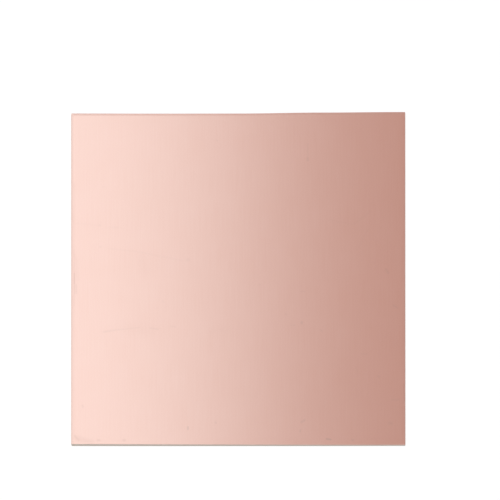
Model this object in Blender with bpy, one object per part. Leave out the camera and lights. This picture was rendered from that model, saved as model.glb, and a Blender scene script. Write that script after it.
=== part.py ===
"""A double-sided copper clad board: a square of glass-epoxy laminate with copper foil pressed onto both faces.

Metres, +Z up. The board lies flat with its lower foil on z = 0, and the origin is under the middle of the board.
-Y is the front edge, +X the right edge.

The board was cut to size on a guillotine, and each edge shows which side of the blade it was on.
A dropped edge (front, right) stays square for a short land at the bottom, then leans in towards the top,
and the blade has rolled its lower foil up over the corner.
A held edge (back, left) is the same upside down: its land is at the top, where the upper foil is rolled down.
"""

import math

import bmesh
import bpy
from mathutils import Vector

# Overall size of the finished board
BOARD_WIDTH = 0.100
BOARD_LENGTH = 0.100
BOARD_THICKNESS = 0.0015

# One ounce foil on each face, and the rough, resin-filled underside that keys it to the core
FOIL_THICKNESS = 0.000035
BOND_LINE = 0.000005

# The guillotine cut: how far each edge leans over the thickness, and the height of its square land.
# The blade gap opened along the front cut, so that edge leans most at its left end.
FRONT_LEAN_AT_LEFT = 0.00057
FRONT_LEAN_AT_RIGHT = 0.00029
RIGHT_LEAN = 0.00008
BACK_LEAN = 0.00012
LEFT_LEAN = 0.00012
LAND_HEIGHT = 0.00045

# The rolled-over foil beside the cut: how wide it is, and how far it has gone down at the cut itself
ROLL_WIDTH = 0.00080
ROLL_DEPTH = 0.000095
ROLL_STEPS = 5

# The corners are sharp, with only the point worn off
CORNER_RADIUS = 0.00025
CORNER_STEPS = 4

COPPER_COLOUR = (0.93, 0.61, 0.51, 1.0)
COPPER_ROUGHNESS = 0.28
LAMINATE_COLOUR = (0.54, 0.46, 0.36, 1.0)
LAMINATE_ROUGHNESS = 0.55

QUARTER_TURN = math.pi / 2

# The corners anticlockwise from the back right: which way each lies from the middle along X and Y,
# and whether the cut that the corner starts on, and the one that it ends on, is a held edge
CORNERS = (
    ((1, 1), (0, 1)),
    ((-1, 1), (1, 1)),
    ((-1, -1), (1, 0)),
    ((1, -1), (0, 0)),
)


def clear_scene():
    for obj in list(bpy.data.objects):
        bpy.data.objects.remove(obj, do_unlink=True)


def make_material(name, colour, metallic, roughness):
    material = bpy.data.materials.new(name)
    material.use_nodes = True
    shader = material.node_tree.nodes["Principled BSDF"]
    shader.inputs["Base Color"].default_value = colour
    shader.inputs["Metallic"].default_value = metallic
    shader.inputs["Roughness"].default_value = roughness
    return material


def dropped_inset(lean, height):
    """How far a dropped edge stands inside the board's overall size at this height."""
    share = (height - LAND_HEIGHT) / (BOARD_THICKNESS - LAND_HEIGHT)
    return lean * max(0.0, share)


def held_inset(lean, height):
    """The same for a held edge, which is a dropped edge upside down."""
    return dropped_inset(lean, BOARD_THICKNESS - height)


def cuts_at_corner(side_x, side_y, height):
    """Where the two cuts that meet at a corner stand at this height."""
    if side_x > 0:
        x = BOARD_WIDTH / 2 - dropped_inset(RIGHT_LEAN, height)
        front_lean = FRONT_LEAN_AT_RIGHT
    else:
        x = -BOARD_WIDTH / 2 + held_inset(LEFT_LEAN, height)
        front_lean = FRONT_LEAN_AT_LEFT
    if side_y > 0:
        y = BOARD_LENGTH / 2 - held_inset(BACK_LEAN, height)
    else:
        y = -BOARD_LENGTH / 2 + dropped_inset(front_lean, height)
    return x, y


def no_roll(held, inward):
    """Between the faces the cut is straight."""
    return 0.0


def rolled_down(held, inward):
    """How far the upper foil has gone down along a held edge, fading out inwards from the cut."""
    return -ROLL_DEPTH * held * (1 - inward / ROLL_WIDTH) ** 2


def rolled_up(held, inward):
    """How far the lower foil has come up along a dropped edge."""
    return ROLL_DEPTH * (1 - held) * (1 - inward / ROLL_WIDTH) ** 2


def loop(height, roll, inward):
    """A loop of points round the board, anticlockwise, this far in from the cuts."""
    points = []
    for quarter, ((side_x, side_y), (held_at_start, held_at_end)) in enumerate(CORNERS):
        for step in range(CORNER_STEPS + 1):
            share = step / CORNER_STEPS
            held = held_at_start + (held_at_end - held_at_start) * share
            z = height + roll(held, inward)
            cut_x, cut_y = cuts_at_corner(side_x, side_y, z)
            angle = QUARTER_TURN * (quarter + share)
            x = cut_x - side_x * (inward + CORNER_RADIUS) + CORNER_RADIUS * math.cos(angle)
            y = cut_y - side_y * (inward + CORNER_RADIUS) + CORNER_RADIUS * math.sin(angle)
            points.append(Vector((x, y, z)))
    return points


def face_loops(height, roll):
    """The loops that make a face of a layer, from the cut in to where the face is flat."""
    return [loop(height, roll, ROLL_WIDTH * step / ROLL_STEPS) for step in range(ROLL_STEPS + 1)]


def make_layer(name, lower_face, cut, upper_face, material):
    """One layer of the board: a closed solid lofted through the loops of its lower face, cut and upper face."""
    mesh = bpy.data.meshes.new(name)
    solid = bmesh.new()
    rings = [[solid.verts.new(point) for point in points] for points in (*reversed(lower_face), *cut, *upper_face)]
    solid.faces.new(reversed(rings[0]))
    solid.faces.new(rings[-1])
    for lower, upper in zip(rings, rings[1:]):
        for here in range(len(lower)):
            before = here - 1
            solid.faces.new((lower[before], lower[here], upper[here], upper[before]))
    solid.to_mesh(mesh)
    solid.free()
    mesh.materials.append(material)
    layer = bpy.data.objects.new(name, mesh)
    bpy.context.scene.collection.objects.link(layer)
    return layer


def build():
    clear_scene()
    copper = make_material("copper_foil", COPPER_COLOUR, 1.0, COPPER_ROUGHNESS)
    laminate = make_material("glass_epoxy", LAMINATE_COLOUR, 0.0, LAMINATE_ROUGHNESS)
    core_start = FOIL_THICKNESS + BOND_LINE
    land_limits = sorted({LAND_HEIGHT, BOARD_THICKNESS - LAND_HEIGHT})
    make_layer(
        "copper_foil_bottom",
        face_loops(0.0, rolled_up),
        (),
        face_loops(FOIL_THICKNESS, rolled_up),
        copper,
    )
    make_layer(
        "glass_epoxy_core",
        face_loops(core_start, rolled_up),
        [loop(height, no_roll, 0.0) for height in land_limits],
        face_loops(BOARD_THICKNESS - core_start, rolled_down),
        laminate,
    )
    make_layer(
        "copper_foil_top",
        face_loops(BOARD_THICKNESS - FOIL_THICKNESS, rolled_down),
        (),
        face_loops(BOARD_THICKNESS, rolled_down),
        copper,
    )


build()
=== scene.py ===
"""A double-sided copper clad board lying on a white table, with a studio camera looking down on it.

Metres, +Z up, the board's lower foil on z = 0. -Y is the front edge, nearest the camera, and +X the right
edge. The two foils and the glass-epoxy core replace the plain solids with the surface that a sheared board
really has.
"""

import math

import bpy
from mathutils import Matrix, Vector, noise


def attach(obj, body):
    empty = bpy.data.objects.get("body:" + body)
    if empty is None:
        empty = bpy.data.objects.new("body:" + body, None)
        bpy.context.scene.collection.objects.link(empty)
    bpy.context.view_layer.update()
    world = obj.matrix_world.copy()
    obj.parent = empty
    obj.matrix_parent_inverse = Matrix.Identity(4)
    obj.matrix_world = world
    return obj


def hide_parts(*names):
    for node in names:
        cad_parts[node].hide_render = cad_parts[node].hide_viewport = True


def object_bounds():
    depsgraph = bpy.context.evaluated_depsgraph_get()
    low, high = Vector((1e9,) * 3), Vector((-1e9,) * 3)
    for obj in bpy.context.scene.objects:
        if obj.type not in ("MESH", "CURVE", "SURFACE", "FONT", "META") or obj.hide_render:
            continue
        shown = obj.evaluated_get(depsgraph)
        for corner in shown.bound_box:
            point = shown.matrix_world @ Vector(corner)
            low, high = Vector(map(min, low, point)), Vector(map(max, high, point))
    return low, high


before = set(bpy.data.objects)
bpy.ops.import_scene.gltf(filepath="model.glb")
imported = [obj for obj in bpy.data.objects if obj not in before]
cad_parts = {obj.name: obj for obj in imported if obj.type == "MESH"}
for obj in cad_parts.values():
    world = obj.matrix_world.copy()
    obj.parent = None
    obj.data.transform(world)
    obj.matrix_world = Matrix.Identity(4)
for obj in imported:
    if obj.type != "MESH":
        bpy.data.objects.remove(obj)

CAD_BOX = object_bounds()
MM = 0.001
MICRON = 0.000001

# The board's overall size comes from the frame, to the nearest micron.
# The sizes after it are the ones that the frame's solids have.
HALF_SIDE = round(CAD_BOX[1].x, 6)
THICKNESS = round(CAD_BOX[1].z, 6)
FOIL = 35 * MICRON
BOND_LINE = 5 * MICRON
LAND = 0.45 * MM
FRONT_LEAN_AT_LEFT = 0.57 * MM
FRONT_LEAN_AT_RIGHT = 0.29 * MM
RIGHT_LEAN = 0.08 * MM
BACK_LEAN = 0.12 * MM
LEFT_LEAN = 0.12 * MM
ROLL_WIDTH = 0.80 * MM
ROLL_DEPTH = 95 * MICRON
CORNER_RADIUS = 0.25 * MM

# Opposite a rolled edge the face only dips a little towards the cut
DIP_WIDTH = 1.2 * MM
DIP_DEPTH = 12 * MICRON

# The faces aren't quite level: by how much, and over what length.
# The lower face's unevenness is taken from this much further on, so that it isn't the upper one's.
UNEVENNESS = 1.5 * MICRON
UNEVEN_LENGTH = 22 * MM
LOWER_FACE_SHIFT = 100 * MM

# Each cut wanders a little from a straight line, as a hand-fed shear leaves it.
# The values are how far in it stands, evenly spaced from left to right or from front to back.
FRONT_WANDER = (0.02 * MM, 0.0, 0.005 * MM, 0.01 * MM, 0.06 * MM)
BACK_WANDER = (0.46 * MM, 0.51 * MM, 0.48 * MM, 0.19 * MM, 0.03 * MM)
LEFT_WANDER = (0.12 * MM, 0.10 * MM, 0.09 * MM, 0.07 * MM, 0.05 * MM)
RIGHT_WANDER = (0.015 * MM, 0.01 * MM, 0.01 * MM, 0.0, 0.0)

# The cut's relief: little on the blade's land, and more where it is torn, from a short way above the land.
# A tear is this long, and so many times longer than it is high.
LAND_RELIEF = 4 * MICRON
TORN_RELIEF = 22 * MICRON
TEARING_GROWS_OVER = 0.2 * MM
TEAR_LENGTH = 0.45 * MM
TEAR_STRETCH = 2.5

# Mesh lines: their spacing, and the closer ones beside each cut, in millimetres from it
FOIL_SPACING = 2.0 * MM
FOIL_LINES_BY_CUT = (0.0, 0.05, 0.1, 0.17, 0.25, 0.35, 0.45, 0.55, 0.65, 0.8, 1.0, 1.2)
CORE_SPACING = 0.2 * MM
CORE_LINES_BY_CUT = (0.0, 0.06, 0.12, 0.18, 0.25)
FIRST_LINE_UP_CUT = 0.15 * MM
SPACING_UP_CUT = 0.1 * MM

# Two faces of the mesh that meet at a sharper angle than this are shaded with an edge between them
FOIL_EDGE_ANGLE = math.radians(50)
CORE_EDGE_ANGLE = math.radians(40)

# The glass cloth: how far apart its threads lie each way, how thick one ply is, and where the first starts
WARP_PITCH = 0.58 * MM
WEFT_PITCH = 0.82 * MM
PLY = 0.179 * MM
FIRST_PLY = FOIL + 0.06 * MM

# How far the press has moved the plies up and down, how far it has moved the threads sideways,
# as a share of their pitch, and over what length
PLY_FLOW = 0.12 * MM
THREADS_FLOW = 0.8
FLOW_LENGTH = 1.6 * MM

# The cut end of a thread is a soft-edged oval. Its half sizes are shares of the pitch and of the ply.
THREAD_HALF_WIDTH = 0.44
THREAD_HALF_HEIGHT = 0.36
THREAD_OUTLINE = (0.7, 1.3)

# The torn part of the cut: how far from the face beside the land it starts and from where it is whole,
# how ragged that line is, how large the crazed spots in the glass are, and how deep
TORN_FROM = LAND + 0.05 * MM
TORN_WHOLLY_FROM = LAND + 0.20 * MM
RAGGED = 0.25 * MM
CRAZED_SPOT = 0.5 * MM
CRAZED_DEPTH = 8 * MICRON

# The laminate's finish
PALE_RESIN = "#CDBEAD"
DEEP_RESIN = "#BCAD9B"
PALE_GLASS = "#E0D6CA"
DEEP_GLASS = "#C7BAAD"
CRAZED_GLASS = "#DED5CC"
LAND_ROUGHNESS = 0.45
TORN_ROUGHNESS = 0.75
RELIEF_ON_LAND = 0.2
EPOXY_IOR = 1.55

# The grain of the foil: the lines of the drum are 0.03 mm apart in life, too fine to show,
# so they are drawn this far apart and this long
DRUM_LINE_PITCH = 0.35 * MM
DRUM_LINE_LENGTH = 12 * MM
DRUM_RELIEF = 4 * MICRON
THREAD_RELIEF = 0.4 * MICRON

# Tarnish lies in patches of this size, and more in the hollows of the grain and between the threads
TARNISH_PATCH = 9 * MM
TARNISH_BY_DRUM = -2.0
TARNISH_BY_THREADS = -0.1
TARNISH_FROM = -1.0
TARNISH_TO = 0.0

# The copper's finish
BARE_COPPER = "#F8D0C2"
TARNISHED_COPPER = "#F6CCBD"
# The colour of the marks, and of the painted shade in the crease and along the upper foil's left and right
# cuts
MARKED_AND_SHADED_COPPER = "#6B584F"
SMOOTH_COPPER = 0.285
ROUGH_COPPER = 0.325
MARK_ROUGHNESS = 0.5

# How far in from the cut the rolled foil has creased, and how much painted shade lies in the crease
CREASE = 0.50 * MM
CREASE_PAINTED_SHADE = 0.08

# Handling marks on each foil, and on the upper foil two lines of painted shade along its left and right cuts:
# where a line starts and ends, in millimetres from the middle of the board to the right and back, how far in
# millimetres it fades out to either side, and how dark it is.
# A speck is a very short line, and a smudge a wide and faint one.
UPPER_MARKS_AND_EDGE_SHADE = (
    ((-38.7, 9.1), (-30.1, 8.1), 0.45, 0.018),
    ((-30.1, 8.1), (-17.0, 5.5), 0.50, 0.017),
    ((-15.3, 5.7), (-14.7, 5.7), 0.80, 0.030),
    ((-28.7, 6.0), (-27.9, 2.0), 2.60, 0.010),
    ((-40.2, -15.9), (-37.0, -15.4), 0.50, 0.050),
    ((-37.0, -15.4), (-29.6, -14.6), 0.42, 0.040),
    ((-26.4, -14.7), (-23.9, -15.1), 0.45, 0.043),
    ((-20.2, -14.3), (-18.8, -14.3), 0.50, 0.025),
    ((-33.5, -14.5), (-26.5, -15.5), 3.20, 0.010),
    ((-8.6, -15.8), (-2.8, -15.2), 1.60, 0.008),
    # Painted shade along the whole left cut, in two lines
    ((-49.9, 49.0), (-49.9, 28.5), 0.90, 0.070),
    ((-49.9, 28.5), (-49.9, -49.0), 1.45, 0.080),
    ((-49.2, 8.6), (-49.2, 6.4), 0.55, 0.070),
    ((-49.0, 7.2), (-49.0, 2.2), 0.40, 0.060),
    ((-49.0, 1.6), (-49.0, -1.5), 0.40, 0.125),
    ((-49.0, -2.0), (-49.0, -4.4), 0.40, 0.090),
    ((-48.4, -1.8), (-48.4, -4.4), 0.40, 0.060),
    ((-49.1, 1.5), (-49.1, -8.4), 0.45, 0.055),
    ((-48.6, 6.0), (-48.2, 0.0), 1.30, 0.020),
    ((-48.5, 16.6), (-41.4, 16.0), 0.50, 0.012),
    ((-41.6, 16.0), (-41.2, 16.0), 0.60, 0.037),
    ((-38.7, 15.4), (-35.7, 15.4), 0.60, 0.017),
    ((-41.4, 9.6), (-41.0, 9.6), 0.50, 0.040),
    ((-40.6, 27.6), (-39.6, 27.6), 0.50, 0.014),
    ((20.8, 40.4), (20.8, 36.5), 0.50, 0.026),
    ((20.8, 36.0), (20.8, 35.6), 0.70, 0.075),
    ((-6.5, 41.6), (-6.3, 41.4), 0.45, 0.035),
    ((18.7, -3.8), (19.9, -3.8), 0.45, 0.035),
    ((19.0, -13.0), (19.0, -13.3), 0.60, 0.080),
    ((14.2, -10.5), (14.4, -10.7), 0.60, 0.032),
    ((15.7, -13.9), (16.9, -13.9), 0.42, 0.032),
    ((24.7, -15.4), (25.0, -15.6), 0.50, 0.045),
    ((6.4, -1.8), (6.6, -1.8), 0.50, 0.030),
    ((-22.6, -6.7), (-22.4, -6.9), 0.60, 0.028),
    ((39.5, 20.2), (34.4, 16.2), 0.60, 0.016),
    ((34.4, 16.2), (27.4, 17.7), 0.70, 0.012),
    ((39.0, 15.1), (35.4, 8.6), 0.60, 0.010),
    ((44.2, 2.8), (44.8, 1.8), 0.70, 0.050),
    ((46.4, -7.9), (47.6, -8.7), 0.50, 0.050),
    ((36.9, -22.5), (38.4, -22.5), 0.50, 0.026),
    ((35.4, -26.8), (35.6, -28.2), 0.60, 0.018),
    ((41.9, -29.2), (42.1, -29.4), 0.60, 0.045),
    # Painted shade along the right cut
    ((49.8, 30.0), (49.8, -49.0), 0.60, 0.060),
    ((49.6, -31.5), (49.6, -37.0), 0.50, 0.100),
    ((46.0, -36.2), (48.0, -36.2), 0.50, 0.034),
    ((45.2, -43.1), (45.8, -43.3), 0.85, 0.050),
    ((-15.0, -44.4), (-15.0, -45.0), 0.50, 0.120),
    ((-6.8, -43.0), (-6.6, -43.1), 0.50, 0.070),
    ((18.9, -42.9), (19.8, -42.3), 0.60, 0.078),
    ((18.6, -45.3), (18.5, -45.7), 0.45, 0.085),
    ((26.4, -47.9), (27.6, -48.1), 0.50, 0.155),
    ((34.0, -48.3), (34.4, -48.3), 0.60, 0.075),
    ((-46.5, -37.9), (-46.4, -38.4), 0.50, 0.055),
    ((-48.9, -47.0), (-47.6, -48.2), 0.70, 0.085),
    ((-49.0, -47.6), (-44.0, -48.7), 1.50, 0.040),
    ((-41.9, -48.3), (-41.5, -48.3), 0.65, 0.068),
    ((-34.3, -48.3), (-33.9, -48.3), 0.65, 0.068),
)
LOWER_MARKS = (
    ((-31.0, 22.5), (-12.5, 27.0), 0.45, 0.055),
    ((-22.0, 27.5), (-14.0, 24.5), 2.80, 0.014),
    ((8.0, -4.0), (29.0, -9.5), 0.40, 0.045),
    ((14.0, -11.0), (24.0, -9.0), 3.20, 0.012),
    ((33.5, 31.0), (37.0, 18.5), 0.45, 0.035),
    ((-44.0, -30.0), (-39.5, -33.5), 0.55, 0.060),
    ((-18.2, -12.0), (-17.8, -12.0), 0.60, 0.080),
    ((3.3, 38.4), (3.6, 38.6), 0.55, 0.070),
    ((41.0, -40.2), (41.3, -40.4), 0.50, 0.130),
    ((-5.6, -41.3), (-5.3, -41.3), 0.60, 0.070),
    ((49.1, 8.0), (49.1, -4.0), 0.50, 0.055),
    ((-47.8, 46.6), (-46.9, 47.3), 0.70, 0.100),
)

# The mesh keeps how far each point of a foil is from the nearer of its two rolled cuts under this name
FROM_ROLLED_CUT = "from_rolled_cut"

# The photograph's frame: 500 pixels each way, looking down at 86.5 degrees
FRAME_PIXELS = 500
PIXELS_PER_MM = 3.345
BOARD_CENTRE_PIXEL = (238.2, 278.95)
ELEVATION = math.radians(86.5)
LENS_MM = 1000
SENSOR_MM = 36
CAMERA_REACH = 20

# The room and the table. The table is a hair below the board, so that the two never share a plane.
# Where it is seen it glows as well, so that it comes out just white with the board's shadow on it.
WHITE = "#FFFFFF"
ROOM = "#EFEFEF"
TABLE_PAINT = "#E8E8E8"
TABLE_GLOW = 1.10
TABLE_GLOW_SHARE = 0.86
TABLE_HALF_SIDE = 3.0
TABLE_DROP = 20 * MICRON

# The light tent: its size, its lamps, its colours, and how much of its top's shade its walls have
TENT_RADIUS = 0.30
TENT_HEIGHT = 0.45
TENT_SIDES = 48
TENT_LAMPS = 4
TENT_TURN = math.radians(30)
TENT_BETWEEN_LAMPS = "#B4B4B4"
TENT_TOP = "#B79890"
SHADE_AT_FRONT = 0.1
SHADE_AT_BACK = 0.9

# The soft light over the board's left half
PANEL_WIDTH = 0.20
PANEL_LENGTH = 0.40
PANEL_HEIGHT = 0.30
PANEL_COLOUR = "#CEF2FE"
PANEL_BRIGHTNESS = 1.178


def linear(hex_colour):
    """An sRGB hex colour as linear RGBA."""
    channels = [int(hex_colour[at:at + 2], 16) / 255 for at in (1, 3, 5)]
    return (*[c / 12.92 if c <= 0.04045 else ((c + 0.055) / 1.055) ** 2.4 for c in channels], 1.0)


def add(tree, kind, inputs=None, **settings):
    """Adds a node with its settings, its inputs filled with values or with the outputs of other nodes."""
    made = tree.nodes.new(kind)
    for name, value in settings.items():
        setattr(made, name, value)
    for socket, value in (inputs or {}).items():
        if isinstance(value, bpy.types.Node):
            value = next(output for output in value.outputs if output.enabled)
        if isinstance(value, bpy.types.NodeSocket):
            tree.links.new(value, made.inputs[socket])
        else:
            made.inputs[socket].default_value = value
    return made


def new_material(name):
    material = bpy.data.materials.new(name)
    material.use_nodes = True
    material.node_tree.nodes.clear()
    return material, material.node_tree


def new_object(name, points, faces, material):
    mesh = bpy.data.meshes.new(name)
    mesh.from_pydata(points, [], faces)
    mesh.materials.append(material)
    made = bpy.data.objects.new(name, mesh)
    bpy.context.scene.collection.objects.link(made)
    return made


def mark(tree, place, start, end, reach, darkness):
    """How dark a mark from start to end makes this place."""
    start, end = Vector((*start, 0.0)) * MM, Vector((*end, 0.0)) * MM
    run = end - start
    from_start = add(tree, "ShaderNodeVectorMath", {0: place, 1: start}, operation="SUBTRACT")
    along = add(tree, "ShaderNodeVectorMath", {
        0: from_start, 1: run / run.length_squared}, operation="DOT_PRODUCT")
    along = add(tree, "ShaderNodeClamp", {0: along.outputs["Value"]})
    nearest = add(tree, "ShaderNodeVectorMath", {0: run, "Scale": along}, operation="SCALE")
    away = add(tree, "ShaderNodeVectorMath", {0: from_start, 1: nearest}, operation="DISTANCE")
    return add(tree, "ShaderNodeMapRange", {
        "Value": away.outputs["Value"], "From Min": 0.0, "From Max": reach * MM,
        "To Min": darkness, "To Max": 0.0}, interpolation_type="SMOOTHSTEP")


def copper_foil(name, marks, sheet):
    """Electrodeposited copper foil, plated on a ground drum and pressed against polished steel.

    To the eye: a satin metal with a fine grain along the drum, the glass cloth beneath printing through
    very faintly, a breath of tarnish in patches, and here and there a dull hairline or speck. Where the blade
    has rolled it over it is creased and rougher, with painted shade in the crease, and some of the lines it
    is given are painted shade along a cut. The grain and the tarnish change with sheet, so that no two
    foils are alike.
    """
    material, tree = new_material(name)
    place = add(tree, "ShaderNodeTexCoord").outputs["Object"]
    axes = add(tree, "ShaderNodeSeparateXYZ", {0: place})
    flat = add(tree, "ShaderNodeCombineXYZ", {"X": axes.outputs["X"], "Y": axes.outputs["Y"]})

    # On this board the ground lines of the drum run from front to back
    drum_scale = (1 / DRUM_LINE_PITCH, 1 / DRUM_LINE_LENGTH, 1.0)
    along_drum = add(tree, "ShaderNodeMapping", {"Vector": flat, "Scale": drum_scale})
    drum = add(tree, "ShaderNodeTexNoise", {
        "Vector": along_drum, "W": sheet, "Scale": 1.0, "Detail": 3.0,
    }, noise_dimensions="4D").outputs["Fac"]

    # The crossings of the cloth's threads stand up under the foil by a fraction of a micron
    threads = []
    for axis, pitch in (("X", WARP_PITCH), ("Y", WEFT_PITCH)):
        turn = add(tree, "ShaderNodeMath", {
            0: axes.outputs[axis], 1: math.pi / pitch}, operation="MULTIPLY")
        threads.append(add(tree, "ShaderNodeMath", {0: turn}, operation="SINE"))
    weave = add(tree, "ShaderNodeMath", {0: threads[0], 1: threads[1]}, operation="MULTIPLY")
    grain = add(tree, "ShaderNodeMath", {0: drum, 1: DRUM_RELIEF}, operation="MULTIPLY")
    height = add(tree, "ShaderNodeMath", {0: weave, 1: THREAD_RELIEF, 2: grain}, operation="MULTIPLY_ADD")
    surface = add(tree, "ShaderNodeBump", {"Distance": 1.0, "Height": height})

    patches = add(tree, "ShaderNodeTexNoise", {
        "Vector": flat, "W": sheet, "Scale": 1 / TARNISH_PATCH, "Detail": 4.0,
    }, noise_dimensions="4D").outputs["Fac"]
    tarnish = add(tree, "ShaderNodeMath", {
        0: drum, 1: TARNISH_BY_DRUM, 2: patches}, operation="MULTIPLY_ADD")
    tarnish = add(tree, "ShaderNodeMath", {
        0: weave, 1: TARNISH_BY_THREADS, 2: tarnish}, operation="MULTIPLY_ADD")
    tarnish = add(tree, "ShaderNodeMapRange", {
        "Value": tarnish, "From Min": TARNISH_FROM, "From Max": TARNISH_TO})
    tint = add(tree, "ShaderNodeMix", {
        "Factor": tarnish, "A": linear(BARE_COPPER), "B": linear(TARNISHED_COPPER)}, data_type="RGBA")

    # The crease beside a rolled cut is rougher and has painted shade, and every mark is dull; on the upper
    # foil the lines along its left and right cuts are painted shade too. The darkest one at each place
    # counts.
    from_cut = add(tree, "ShaderNodeAttribute", attribute_name=FROM_ROLLED_CUT).outputs["Fac"]
    from_crease = add(tree, "ShaderNodeMath", {0: from_cut, 1: CREASE}, operation="SUBTRACT")
    from_crease = add(tree, "ShaderNodeMath", {0: from_crease}, operation="ABSOLUTE")
    darkest = add(tree, "ShaderNodeMapRange", {
        "Value": from_crease, "From Min": 0.0, "From Max": ROLL_WIDTH - CREASE,
        "To Min": CREASE_PAINTED_SHADE, "To Max": 0.0})
    for line in marks:
        darkest = add(tree, "ShaderNodeMath", {0: darkest, 1: mark(tree, flat, *line)}, operation="MAXIMUM")
    tint = add(tree, "ShaderNodeMix", {
        "Factor": darkest, "A": tint, "B": linear(MARKED_AND_SHADED_COPPER)}, data_type="RGBA")

    roughness = add(tree, "ShaderNodeMapRange", {
        "Value": drum, "To Min": SMOOTH_COPPER, "To Max": ROUGH_COPPER})
    roughness = add(tree, "ShaderNodeMath", {
        0: darkest, 1: MARK_ROUGHNESS, 2: roughness}, operation="MULTIPLY_ADD")
    shader = add(tree, "ShaderNodeBsdfPrincipled", {
        "Base Color": tint, "Metallic": 1.0, "Roughness": roughness, "Normal": surface})
    add(tree, "ShaderNodeOutputMaterial", {"Surface": shader})
    return material


def glass_epoxy():
    """FR-4: eight plies of woven glass cloth pressed in undyed epoxy, sheared through.

    To the eye: a dull grey-tan edge with the plies in rows, and the ends of the threads paler than the
    resin. The blade leaves its land smooth, and where the cut has torn it the glass is crazed, paler and
    rougher.
    """
    material, tree = new_material("sheared_glass_epoxy")
    place = add(tree, "ShaderNodeTexCoord").outputs["Object"]
    axes = add(tree, "ShaderNodeSeparateXYZ", {0: place})
    x, y, z = (axes.outputs[axis] for axis in "XYZ")

    # Only x or y changes along any one side of the square, so their sum runs along every side.
    # The plies have flowed a little up and down in the press, and the threads a little sideways.
    along = add(tree, "ShaderNodeMath", {0: x, 1: y}, operation="ADD")
    flow = add(tree, "ShaderNodeTexNoise", {"Vector": place, "Scale": 1 / FLOW_LENGTH, "Detail": 1.0})
    flow = add(tree, "ShaderNodeSeparateXYZ", {0: flow.outputs["Color"]})
    height = add(tree, "ShaderNodeMath", {
        0: flow.outputs["X"], 1: PLY_FLOW, 2: z}, operation="MULTIPLY_ADD")
    height = add(tree, "ShaderNodeMath", {0: height, 1: FIRST_PLY}, operation="SUBTRACT")
    ply = add(tree, "ShaderNodeMath", {0: height, 1: PLY}, operation="DIVIDE")
    ply_number = add(tree, "ShaderNodeMath", {0: ply}, operation="FLOOR")
    shift = add(tree, "ShaderNodeTexWhiteNoise", {
        "W": ply_number}, noise_dimensions="1D").outputs["Value"]
    shift = add(tree, "ShaderNodeMath", {
        0: flow.outputs["Y"], 1: THREADS_FLOW, 2: shift}, operation="MULTIPLY_ADD")
    thread = add(tree, "ShaderNodeMath", {
        0: along, 1: 1 / WARP_PITCH, 2: shift}, operation="MULTIPLY_ADD")

    # Each thread has its own number, which decides how white it is
    thread_number = add(tree, "ShaderNodeMath", {0: thread}, operation="FLOOR")
    which = add(tree, "ShaderNodeCombineXYZ", {"X": thread_number, "Y": ply_number})
    whiteness = add(tree, "ShaderNodeTexWhiteNoise", {
        "Vector": which}, noise_dimensions="2D").outputs["Value"]
    squares = []
    for value, reach in ((thread, THREAD_HALF_WIDTH), (ply, THREAD_HALF_HEIGHT)):
        within = add(tree, "ShaderNodeMath", {0: value}, operation="FRACT")
        from_middle = add(tree, "ShaderNodeMath", {0: within, 1: 0.5}, operation="SUBTRACT")
        share = add(tree, "ShaderNodeMath", {0: from_middle, 1: reach}, operation="DIVIDE")
        squares.append(add(tree, "ShaderNodeMath", {0: share, 1: 2.0}, operation="POWER"))
    oval = add(tree, "ShaderNodeMath", {0: squares[0], 1: squares[1]}, operation="ADD")
    thread_end = add(tree, "ShaderNodeMapRange", {
        "Value": oval, "From Min": THREAD_OUTLINE[0], "From Max": THREAD_OUTLINE[1],
        "To Min": 1.0, "To Max": 0.0})

    # The land is at the bottom of the right and front cuts, and at the top of the other two
    dropped = add(tree, "ShaderNodeMath", {0: x, 1: y}, operation="GREATER_THAN")
    from_top = add(tree, "ShaderNodeMath", {0: THICKNESS, 1: z}, operation="SUBTRACT")
    up_cut = add(tree, "ShaderNodeMix", {"Factor": dropped, "A": from_top, "B": z}, data_type="FLOAT")
    crazing = add(tree, "ShaderNodeTexNoise", {
        "Vector": place, "Scale": 1 / CRAZED_SPOT, "Detail": 4.0}).outputs["Fac"]
    ragged = add(tree, "ShaderNodeMath", {0: crazing, 1: RAGGED, 2: up_cut}, operation="MULTIPLY_ADD")
    torn = add(tree, "ShaderNodeMapRange", {
        "Value": ragged, "From Min": TORN_FROM, "From Max": TORN_WHOLLY_FROM})

    resin = add(tree, "ShaderNodeMix", {
        "Factor": crazing, "A": linear(PALE_RESIN), "B": linear(DEEP_RESIN)}, data_type="RGBA")
    glass = add(tree, "ShaderNodeMix", {
        "Factor": whiteness, "A": linear(PALE_GLASS), "B": linear(DEEP_GLASS)}, data_type="RGBA")
    tint = add(tree, "ShaderNodeMix", {"Factor": thread_end, "A": resin, "B": glass}, data_type="RGBA")
    whitened = add(tree, "ShaderNodeMath", {0: torn, 1: crazing}, operation="MULTIPLY")
    tint = add(tree, "ShaderNodeMix", {
        "Factor": whitened, "A": tint, "B": linear(CRAZED_GLASS)}, data_type="RGBA")

    strength = add(tree, "ShaderNodeMapRange", {"Value": torn, "To Min": RELIEF_ON_LAND, "To Max": 1.0})
    relief = add(tree, "ShaderNodeBump", {
        "Strength": strength, "Distance": CRAZED_DEPTH, "Height": crazing})
    roughness = add(tree, "ShaderNodeMapRange", {
        "Value": torn, "To Min": LAND_ROUGHNESS, "To Max": TORN_ROUGHNESS})
    shader = add(tree, "ShaderNodeBsdfPrincipled", {
        "Base Color": tint, "Roughness": roughness, "IOR": EPOXY_IOR, "Normal": relief})
    add(tree, "ShaderNodeOutputMaterial", {"Surface": shader})
    return material


def wandered(values, share):
    """The value at this share of the way along a smooth line through evenly spaced values."""
    at = share * (len(values) - 1)
    first = min(int(at), len(values) - 2)
    ease = (1 - math.cos(math.pi * (at - first))) / 2
    return values[first] * (1 - ease) + values[first + 1] * ease


def dropped_inset(lean, height):
    """How far a dropped edge stands in at this height: square for the land at the bottom, then leaning."""
    return lean * max(0.0, (height - LAND) / (THICKNESS - LAND))


def held_inset(lean, height):
    """A held edge is a dropped edge upside down."""
    return dropped_inset(lean, THICKNESS - height)


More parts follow.
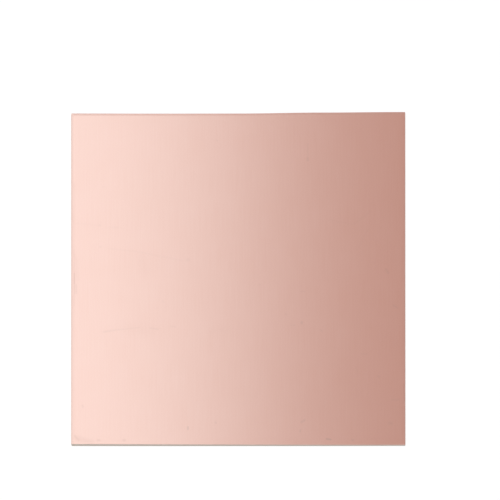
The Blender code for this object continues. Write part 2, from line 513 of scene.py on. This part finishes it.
def rounded(x, y):
    """Moves a point of the square board in where the corner is worn round, as a square maps onto a disc."""
    start = HALF_SIDE - CORNER_RADIUS
    if abs(x) <= start or abs(y) <= start:
        return x, y
    across = (abs(x) - start) / CORNER_RADIUS
    along = (abs(y) - start) / CORNER_RADIUS
    across, along = across * math.sqrt(1 - along * along / 2), along * math.sqrt(1 - across * across / 2)
    x = math.copysign(start + CORNER_RADIUS * across, x)
    y = math.copysign(start + CORNER_RADIUS * along, y)
    return x, y


def on_board(x, y, height):
    """Where a point of the ideal square lies once the cuts at this height have moved the outline in."""
    x, y = rounded(x, y)
    to_right = (x + HALF_SIDE) / (2 * HALF_SIDE)
    to_back = (y + HALF_SIDE) / (2 * HALF_SIDE)
    front_lean = FRONT_LEAN_AT_LEFT + (FRONT_LEAN_AT_RIGHT - FRONT_LEAN_AT_LEFT) * to_right
    left = held_inset(LEFT_LEAN, height) + wandered(LEFT_WANDER, to_back)
    right = dropped_inset(RIGHT_LEAN, height) + wandered(RIGHT_WANDER, to_back)
    front = dropped_inset(front_lean, height) + wandered(FRONT_WANDER, to_right)
    back = held_inset(BACK_LEAN, height) + wandered(BACK_WANDER, to_right)
    return (
        x + left * (1 - to_right) - right * to_right,
        y + front * (1 - to_back) - back * to_back,
        height,
    )


def sunk(depth, width, distance):
    """How far a face has gone in at this distance from a cut."""
    return depth * max(0.0, 1 - distance / width) ** 2


def from_surface(to_rolled, to_dipped, x, y, shift):
    """How far a face lies inside its level here: rolled at two cuts, dipped at the others, slightly uneven.

    The first two values say how far away the nearer rolled cut and the nearer dipped one are.
    """
    uneven = UNEVENNESS * (1 + noise.noise(Vector((x, y, shift)) / UNEVEN_LENGTH))
    rolled = sunk(ROLL_DEPTH, ROLL_WIDTH, to_rolled)
    dipped = sunk(DIP_DEPTH, DIP_WIDTH, to_dipped)
    return max(rolled, dipped) + uneven


def from_held_cuts(x, y):
    """How far a point is from the nearer of the left and back cuts, which roll the upper foil down."""
    return min(HALF_SIDE + x, HALF_SIDE - y)


def from_dropped_cuts(x, y):
    """How far it is from the nearer of the right and front cuts, which roll the lower foil up."""
    return min(HALF_SIDE - x, HALF_SIDE + y)


def upper_face(x, y):
    """How high the board's upper face lies here."""
    return THICKNESS - from_surface(from_held_cuts(x, y), from_dropped_cuts(x, y), x, y, 0.0)


def lower_face(x, y):
    """How high its lower face lies here."""
    return from_surface(from_dropped_cuts(x, y), from_held_cuts(x, y), x, y, LOWER_FACE_SHIFT)


def lines_across(near_edge, spacing):
    """Where mesh lines run across the board: at these distances from each edge, and evenly between them."""
    first = HALF_SIDE - near_edge[-1]
    spaces = round(2 * first / spacing)
    between = [-first + 2 * first * step / spaces for step in range(1, spaces)]
    return [d - HALF_SIDE for d in near_edge] + between + [HALF_SIDE - d for d in reversed(near_edge)]


def show(name, points, faces, material, node, edge_angle):
    """Makes a piece of the board from points and faces, standing for a solid of the model."""
    piece = new_object(name, points, faces, material)
    piece.data.shade_smooth()
    piece.data.set_sharp_from_angle(angle=edge_angle)
    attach(piece, "root")
    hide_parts(node)
    return piece.data


def foil(name, node, material, upper):
    """A foil as a closed sheet: an outer face, an inner face on the core, and the thin edge between."""
    lines = lines_across([d * MM for d in FOIL_LINES_BY_CUT], FOIL_SPACING)
    count = len(lines)
    points = []
    distances = []
    for depth in (0.0, FOIL):
        for y in lines:
            for x in lines:
                height = upper_face(x, y) - depth if upper else lower_face(x, y) + depth
                points.append(on_board(x, y, height))
                distances.append(from_held_cuts(x, y) if upper else from_dropped_cuts(x, y))
    faces = []
    layer = count * count
    for row in range(count - 1):
        for column in range(count - 1):
            here = row * count + column
            outer = (here, here + 1, here + count + 1, here + count)
            inner = tuple(layer + p for p in reversed(outer))
            faces += [outer, inner]

    # The outer face's points along the cuts, anticlockwise from the front left
    rim = [
        *range(count),
        *range(2 * count - 1, layer, count),
        *range(layer - 2, layer - count - 1, -1),
        *range(layer - 2 * count, 0, -count),
    ]
    for at, corner in enumerate(rim):
        before = rim[at - 1]
        faces.append((corner, before, layer + before, layer + corner))
    if not upper:
        faces = [face[::-1] for face in faces]
    mesh = show(name, points, faces, material, node, FOIL_EDGE_ANGLE)
    mesh.attributes.new(FROM_ROLLED_CUT, "FLOAT", "POINT").data.foreach_set("value", distances)


def tearing(x, y, height):
    """How far the cut is torn in here: hardly on the blade's land, and more where threads have pulled."""
    above_land = (height if x > y else THICKNESS - height) - LAND
    growth = min(max(above_land / TEARING_GROWS_OVER, 0.0), 1.0)
    depth = LAND_RELIEF + TORN_RELIEF * growth
    return depth * (0.5 + 0.5 * noise.noise(Vector((x, y, height * TEAR_STRETCH)) / TEAR_LENGTH))


def core_loop(height_at, inward, torn):
    """A loop of points round the core, anticlockwise from the front left, this far in from the cut.

    Each side is the front one, turned a quarter once more than the side before it.
    """
    run = lines_across([d * MM for d in CORE_LINES_BY_CUT], CORE_SPACING)[:-1]
    points = []
    for side in range(4):
        for at in run:
            x, y = at, -HALF_SIDE
            for turn in range(side):
                x, y = -y, x
            height = height_at(x, y)
            depth = inward + (tearing(x, y, height) if torn else 0.0)
            shrink = 1 - depth / HALF_SIDE
            points.append(on_board(x * shrink, y * shrink, height))
    return points


def core(name, node, material):
    """The core, with the blade's land and the torn part of the cut on each side."""
    def bottom(x, y):
        return lower_face(x, y) + FOIL + BOND_LINE

    def top(x, y):
        return upper_face(x, y) - FOIL - BOND_LINE

    steps = round((THICKNESS - 2 * FIRST_LINE_UP_CUT) / SPACING_UP_CUT)
    cut = [FIRST_LINE_UP_CUT + SPACING_UP_CUT * step for step in range(steps + 1)]
    loops = [
        core_loop(bottom, ROLL_WIDTH, False),
        core_loop(bottom, 0.0, False),
        *[core_loop(lambda x, y, height=height: height, 0.0, True) for height in cut],
        core_loop(top, 0.0, False),
        core_loop(top, ROLL_WIDTH, False),
    ]
    count = len(loops[0])
    points = [point for loop in loops for point in loop]
    faces = [tuple(reversed(range(count))), tuple(range(len(points) - count, len(points)))]
    for level in range(len(loops) - 1):
        for at in range(count):
            here, after = level * count + at, level * count + (at + 1) % count
            faces.append((here, after, after + count, here + count))
    show(name, points, faces, material, node, CORE_EDGE_ANGLE)


def seen_as_background(tree):
    """1 where it is seen, straight, in a reflection or through glass, and 0 where it only gives light."""
    rays = add(tree, "ShaderNodeLightPath")
    seen = add(tree, "ShaderNodeMath", {
        0: rays.outputs["Is Camera Ray"], 1: rays.outputs["Is Glossy Ray"]}, operation="MAXIMUM")
    return add(tree, "ShaderNodeMath", {
        0: seen, 1: rays.outputs["Is Transmission Ray"]}, operation="MAXIMUM")


def white_table():
    """A table top sprayed with matt white paint.

    To the eye: seamless white without any gloss, on which the board's shadow still lies.
    """
    material, tree = new_material("matt_white_paint")
    paint = add(tree, "ShaderNodeBsdfDiffuse", {"Color": linear(TABLE_PAINT)})
    white = add(tree, "ShaderNodeEmission", {"Strength": TABLE_GLOW})
    glow = add(tree, "ShaderNodeMath", {
        0: seen_as_background(tree), 1: TABLE_GLOW_SHARE}, operation="MULTIPLY")
    mix = add(tree, "ShaderNodeMixShader", {0: glow, 1: paint, 2: white})
    add(tree, "ShaderNodeOutputMaterial", {"Surface": mix})
    corners = [(x * TABLE_HALF_SIDE, y * TABLE_HALF_SIDE, -TABLE_DROP)
               for x, y in ((-1, -1), (1, -1), (1, 1), (-1, 1))]
    table = new_object("table", corners, [(0, 1, 2, 3)], material)


def light_tent():
    """A round tent of white nylon over the board, lit from outside by lamps at even turns.

    To the eye it is only a reflection in the copper: bright in front of each lamp and greyer between them,
    under a warm top in shade, whose shade reaches down the back more than down the front. The tent is near
    enough that its reflection changes across the copper, also where the board is seen from low down.
    """
    material, tree = new_material("white_nylon_screen")
    place = add(tree, "ShaderNodeTexCoord").outputs["Object"]
    axes = add(tree, "ShaderNodeSeparateXYZ", {0: place})
    x, y, z = (axes.outputs[axis] for axis in "XYZ")
    bearing = add(tree, "ShaderNodeMath", {0: y, 1: x}, operation="ARCTAN2")
    lamps = add(tree, "ShaderNodeMath", {
        0: bearing, 1: TENT_LAMPS, 2: TENT_TURN}, operation="MULTIPLY_ADD")
    lamps = add(tree, "ShaderNodeMath", {0: lamps}, operation="SINE")
    at_lamp = add(tree, "ShaderNodeMapRange", {"Value": lamps, "From Min": -1.0})
    lit = add(tree, "ShaderNodeMix", {
        "Factor": at_lamp, "A": linear(TENT_BETWEEN_LAMPS), "B": linear(WHITE)}, data_type="RGBA")

    # The top is wholly in shade, and a wall is more in shade the higher up it is
    up = add(tree, "ShaderNodeMapRange", {"Value": z, "From Min": 0.0, "From Max": TENT_HEIGHT})
    toward_back = add(tree, "ShaderNodeMapRange", {
        "Value": y, "From Min": -TENT_RADIUS, "From Max": TENT_RADIUS,
        "To Min": SHADE_AT_FRONT, "To Max": SHADE_AT_BACK})
    shade = add(tree, "ShaderNodeMath", {0: up, 1: toward_back}, operation="MULTIPLY")
    on_top = add(tree, "ShaderNodeMath", {0: z, 1: TENT_HEIGHT - MM}, operation="GREATER_THAN")
    shade = add(tree, "ShaderNodeMath", {0: shade, 1: on_top}, operation="MAXIMUM")
    colour = add(tree, "ShaderNodeMix", {
        "Factor": shade, "A": lit, "B": linear(TENT_TOP)}, data_type="RGBA")
    glow = add(tree, "ShaderNodeEmission", {"Color": colour})
    add(tree, "ShaderNodeOutputMaterial", {"Surface": glow})

    turns = [2 * math.pi * step / TENT_SIDES for step in range(TENT_SIDES)]
    points = [(TENT_RADIUS * math.cos(turn), TENT_RADIUS * math.sin(turn), height)
              for height in (0.0, TENT_HEIGHT) for turn in turns]
    top = tuple(range(TENT_SIDES, 2 * TENT_SIDES))
    walls = [(at, (at + 1) % TENT_SIDES, TENT_SIDES + (at + 1) % TENT_SIDES, TENT_SIDES + at)
             for at in range(TENT_SIDES)]
    tent = new_object("light_tent", points, [top, *walls], material)
    tent.visible_camera = False


def studio_room():
    """The pale room outside the tent, plain white where it is seen past the table."""
    world = bpy.data.worlds.new("studio")
    bpy.context.scene.world = world
    world.use_nodes = True
    tree = world.node_tree
    tree.nodes.clear()
    colour = add(tree, "ShaderNodeMix", {
        "Factor": seen_as_background(tree), "A": linear(ROOM), "B": linear(WHITE)}, data_type="RGBA")
    background = add(tree, "ShaderNodeBackground", {"Color": colour, "Strength": 1.0})
    add(tree, "ShaderNodeOutputWorld", {"Surface": background})


def soft_panel():
    """One soft light over the board's left half: the copper is pale under it and deeper to the right."""
    light = bpy.data.lights.new("soft_panel", "AREA")
    light.shape = "RECTANGLE"
    light.size = PANEL_WIDTH
    light.size_y = PANEL_LENGTH
    light.color = linear(PANEL_COLOUR)[:3]

    # At this power the panel's whole face is seen as bright as PANEL_BRIGHTNESS says, where 1 is white
    light.energy = PANEL_BRIGHTNESS * math.pi * PANEL_WIDTH * PANEL_LENGTH
    panel = bpy.data.objects.new("soft_panel", light)
    panel.location = (-PANEL_WIDTH / 2, 0.0, PANEL_HEIGHT)
    panel.visible_camera = False
    bpy.context.scene.collection.objects.link(panel)


def studio_camera():
    """A camera with a long lens that frames the board as the photograph does."""
    data = bpy.data.cameras.new("camera")
    data.lens = LENS_MM
    data.sensor_width = SENSOR_MM
    data.clip_end = CAMERA_REACH
    camera = bpy.data.objects.new("camera", data)
    bpy.context.scene.collection.objects.link(camera)
    back = Vector((0.0, -math.cos(ELEVATION), math.sin(ELEVATION)))
    up = Vector((0.0, math.sin(ELEVATION), math.cos(ELEVATION)))
    right = Vector((1.0, 0.0, 0.0))
    middle = FRAME_PIXELS / 2
    pixel = MM / PIXELS_PER_MM
    centre_x, centre_y = BOARD_CENTRE_PIXEL
    aim = right * (middle - centre_x) * pixel + up * (centre_y - middle) * pixel
    distance = FRAME_PIXELS * pixel * LENS_MM / SENSOR_MM
    camera.location = aim + back * distance + Vector((0.0, 0.0, THICKNESS / 2))
    camera.rotation_euler = (math.pi / 2 - ELEVATION, 0.0, 0.0)
    bpy.context.scene.camera = camera


studio_camera()
upper_copper = copper_foil("upper_copper_foil", UPPER_MARKS_AND_EDGE_SHADE, sheet=0.0)
lower_copper = copper_foil("lower_copper_foil", LOWER_MARKS, sheet=7.3)
foil("board_upper_foil", "copper_foil_top", upper_copper, upper=True)
foil("board_lower_foil", "copper_foil_bottom", lower_copper, upper=False)
core("board_core", "glass_epoxy_core", glass_epoxy())
white_table()
light_tent()
studio_room()
soft_panel()
bpy.context.scene.view_settings.view_transform = "Standard"
